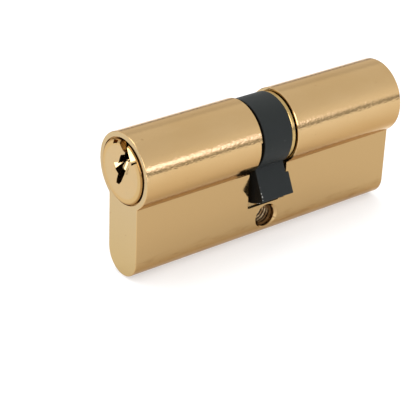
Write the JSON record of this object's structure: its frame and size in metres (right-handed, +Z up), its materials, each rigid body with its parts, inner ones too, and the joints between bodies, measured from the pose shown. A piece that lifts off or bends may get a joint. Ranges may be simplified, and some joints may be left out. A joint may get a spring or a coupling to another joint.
{
  "type": "euro cylinder",
  "caption": "Double euro-profile lock cylinder with a keyed plug at each end, sprung pin stacks and a turning cam in a central slot.",
  "frame": {"origin": "centre of the fixing-screw hole, in the middle of the length and of the width", "axes": "+X along the plugs from the front end to the rear end, +Z up from the tail to the round head, +Y across the tail along the fixing-screw hole"},
  "size_m": [0.071, 0.017, 0.033],
  "materials": {
    "brass_body": "satin polished brass",
    "brass_plug": "fine-turned satin brass",
    "clip_brass": "rolled spring brass",
    "cap_brass": "pressed and filed flush",
    "pin_brass": "turned",
    "cam_steel": "matte black sintered steel",
    "clutch_steel": "sintered steel",
    "driver_steel": "turned hardened steel",
    "spring_steel": "drawn spring wire"
  },
  "bodies": {
    "housing": {"housing": "brass_body", "front_chamber_caps": "cap_brass", "rear_chamber_caps": "cap_brass", "front_spring_1": "spring_steel", "front_spring_2": "spring_steel", "front_spring_3": "spring_steel", "front_spring_4": "spring_steel", "front_spring_5": "spring_steel", "front_spring_6": "spring_steel", "rear_spring_1": "spring_steel", "rear_spring_2": "spring_steel", "rear_spring_3": "spring_steel", "rear_spring_4": "spring_steel", "rear_spring_5": "spring_steel", "rear_spring_6": "spring_steel"},
    "front_plug": {"front_plug": "brass_plug", "front_circlip": "clip_brass"},
    "rear_plug": {"rear_plug": "brass_plug", "rear_circlip": "clip_brass"},
    "cam": {"cam": "cam_steel"},
    "clutch": {"clutch": "clutch_steel"},
    "front_key_pin_1": {"front_key_pin_1": "pin_brass"},
    "front_driver_pin_1": {"front_driver_pin_1": "driver_steel"},
    "front_key_pin_2": {"front_key_pin_2": "pin_brass"},
    "front_driver_pin_2": {"front_driver_pin_2": "driver_steel"},
    "front_key_pin_3": {"front_key_pin_3": "pin_brass"},
    "front_driver_pin_3": {"front_driver_pin_3": "driver_steel"},
    "front_key_pin_4": {"front_key_pin_4": "pin_brass"},
    "front_driver_pin_4": {"front_driver_pin_4": "driver_steel"},
    "front_key_pin_5": {"front_key_pin_5": "pin_brass"},
    "front_driver_pin_5": {"front_driver_pin_5": "driver_steel"},
    "front_key_pin_6": {"front_key_pin_6": "pin_brass"},
    "front_driver_pin_6": {"front_driver_pin_6": "driver_steel"},
    "rear_key_pin_1": {"rear_key_pin_1": "pin_brass"},
    "rear_driver_pin_1": {"rear_driver_pin_1": "driver_steel"},
    "rear_key_pin_2": {"rear_key_pin_2": "pin_brass"},
    "rear_driver_pin_2": {"rear_driver_pin_2": "driver_steel"},
    "rear_key_pin_3": {"rear_key_pin_3": "pin_brass"},
    "rear_driver_pin_3": {"rear_driver_pin_3": "driver_steel"},
    "rear_key_pin_4": {"rear_key_pin_4": "pin_brass"},
    "rear_driver_pin_4": {"rear_driver_pin_4": "driver_steel"},
    "rear_key_pin_5": {"rear_key_pin_5": "pin_brass"},
    "rear_driver_pin_5": {"rear_driver_pin_5": "driver_steel"},
    "rear_key_pin_6": {"rear_key_pin_6": "pin_brass"},
    "rear_driver_pin_6": {"rear_driver_pin_6": "driver_steel"}
  },
  "joints": [
    {"name": "front_plug_turn", "type": "hinge", "parent": "housing", "child": "front_plug", "pos_m": [0, 0, 0.0189], "axis": [1, 0, 0], "continuous": true},
    {"name": "rear_plug_turn", "type": "hinge", "parent": "housing", "child": "rear_plug", "pos_m": [0, 0, 0.0189], "axis": [1, 0, 0], "continuous": true},
    {"name": "cam_turn", "type": "hinge", "parent": "housing", "child": "cam", "pos_m": [0, 0, 0.0189], "axis": [1, 0, 0], "continuous": true},
    {"name": "clutch_slide", "type": "slide", "parent": "cam", "child": "clutch", "axis": [1, 0, 0], "range_m": [0, 0.002]},
    {"name": "front_key_pin_1_slide", "type": "slide", "parent": "front_plug", "child": "front_key_pin_1", "axis": [0, 0, 1], "range_m": [0, 0.0032]},
    {"name": "front_driver_pin_1_slide", "type": "slide", "parent": "housing", "child": "front_driver_pin_1", "axis": [0, 0, -1], "range_m": [0, 0.0035], "stiffness_N_per_m": 40, "springref_m": -0.006, "deforming": ["front_spring_1"]},
    {"name": "front_key_pin_2_slide", "type": "slide", "parent": "front_plug", "child": "front_key_pin_2", "axis": [0, 0, 1], "range_m": [0, 0.0017]},
    {"name": "front_driver_pin_2_slide", "type": "slide", "parent": "housing", "child": "front_driver_pin_2", "axis": [0, 0, -1], "range_m": [0, 0.0035], "stiffness_N_per_m": 40, "springref_m": -0.006, "deforming": ["front_spring_2"]},
    {"name": "front_key_pin_3_slide", "type": "slide", "parent": "front_plug", "child": "front_key_pin_3", "axis": [0, 0, 1], "range_m": [0, 0.0027]},
    {"name": "front_driver_pin_3_slide", "type": "slide", "parent": "housing", "child": "front_driver_pin_3", "axis": [0, 0, -1], "range_m": [0, 0.0035], "stiffness_N_per_m": 40, "springref_m": -0.006, "deforming": ["front_spring_3"]},
    {"name": "front_key_pin_4_slide", "type": "slide", "parent": "front_plug", "child": "front_key_pin_4", "axis": [0, 0, 1], "range_m": [0, 0.0012]},
    {"name": "front_driver_pin_4_slide", "type": "slide", "parent": "housing", "child": "front_driver_pin_4", "axis": [0, 0, -1], "range_m": [0, 0.0035], "stiffness_N_per_m": 40, "springref_m": -0.006, "deforming": ["front_spring_4"]},
    {"name": "front_key_pin_5_slide", "type": "slide", "parent": "front_plug", "child": "front_key_pin_5", "axis": [0, 0, 1], "range_m": [0, 0.0022]},
    {"name": "front_driver_pin_5_slide", "type": "slide", "parent": "housing", "child": "front_driver_pin_5", "axis": [0, 0, -1], "range_m": [0, 0.0035], "stiffness_N_per_m": 40, "springref_m": -0.006, "deforming": ["front_spring_5"]},
    {"name": "front_key_pin_6_slide", "type": "slide", "parent": "front_plug", "child": "front_key_pin_6", "axis": [0, 0, 1], "range_m": [0, 0.0027]},
    {"name": "front_driver_pin_6_slide", "type": "slide", "parent": "housing", "child": "front_driver_pin_6", "axis": [0, 0, -1], "range_m": [0, 0.0035], "stiffness_N_per_m": 40, "springref_m": -0.006, "deforming": ["front_spring_6"]},
    {"name": "rear_key_pin_1_slide", "type": "slide", "parent": "rear_plug", "child": "rear_key_pin_1", "axis": [0, 0, 1], "range_m": [0, 0.0022]},
    {"name": "rear_driver_pin_1_slide", "type": "slide", "parent": "housing", "child": "rear_driver_pin_1", "axis": [0, 0, -1], "range_m": [0, 0.0035], "stiffness_N_per_m": 40, "springref_m": -0.006, "deforming": ["rear_spring_1"]},
    {"name": "rear_key_pin_2_slide", "type": "slide", "parent": "rear_plug", "child": "rear_key_pin_2", "axis": [0, 0, 1], "range_m": [0, 0.0032]},
    {"name": "rear_driver_pin_2_slide", "type": "slide", "parent": "housing", "child": "rear_driver_pin_2", "axis": [0, 0, -1], "range_m": [0, 0.0035], "stiffness_N_per_m": 40, "springref_m": -0.006, "deforming": ["rear_spring_2"]},
    {"name": "rear_key_pin_3_slide", "type": "slide", "parent": "rear_plug", "child": "rear_key_pin_3", "axis": [0, 0, 1], "range_m": [0, 0.0012]},
    {"name": "rear_driver_pin_3_slide", "type": "slide", "parent": "housing", "child": "rear_driver_pin_3", "axis": [0, 0, -1], "range_m": [0, 0.0035], "stiffness_N_per_m": 40, "springref_m": -0.006, "deforming": ["rear_spring_3"]},
    {"name": "rear_key_pin_4_slide", "type": "slide", "parent": "rear_plug", "child": "rear_key_pin_4", "axis": [0, 0, 1], "range_m": [0, 0.0027]},
    {"name": "rear_driver_pin_4_slide", "type": "slide", "parent": "housing", "child": "rear_driver_pin_4", "axis": [0, 0, -1], "range_m": [0, 0.0035], "stiffness_N_per_m": 40, "springref_m": -0.006, "deforming": ["rear_spring_4"]},
    {"name": "rear_key_pin_5_slide", "type": "slide", "parent": "rear_plug", "child": "rear_key_pin_5", "axis": [0, 0, 1], "range_m": [0, 0.0017]},
    {"name": "rear_driver_pin_5_slide", "type": "slide", "parent": "housing", "child": "rear_driver_pin_5", "axis": [0, 0, -1], "range_m": [0, 0.0035], "stiffness_N_per_m": 40, "springref_m": -0.006, "deforming": ["rear_spring_5"]},
    {"name": "rear_key_pin_6_slide", "type": "slide", "parent": "rear_plug", "child": "rear_key_pin_6", "axis": [0, 0, 1], "range_m": [0, 0.0032]},
    {"name": "rear_driver_pin_6_slide", "type": "slide", "parent": "housing", "child": "rear_driver_pin_6", "axis": [0, 0, -1], "range_m": [0, 0.0035], "stiffness_N_per_m": 40, "springref_m": -0.006, "deforming": ["rear_spring_6"]}
  ],
  "couplings": [
    {"joint": "cam_turn", "follows": "front_plug_turn", "ratio": 1}
  ]
}
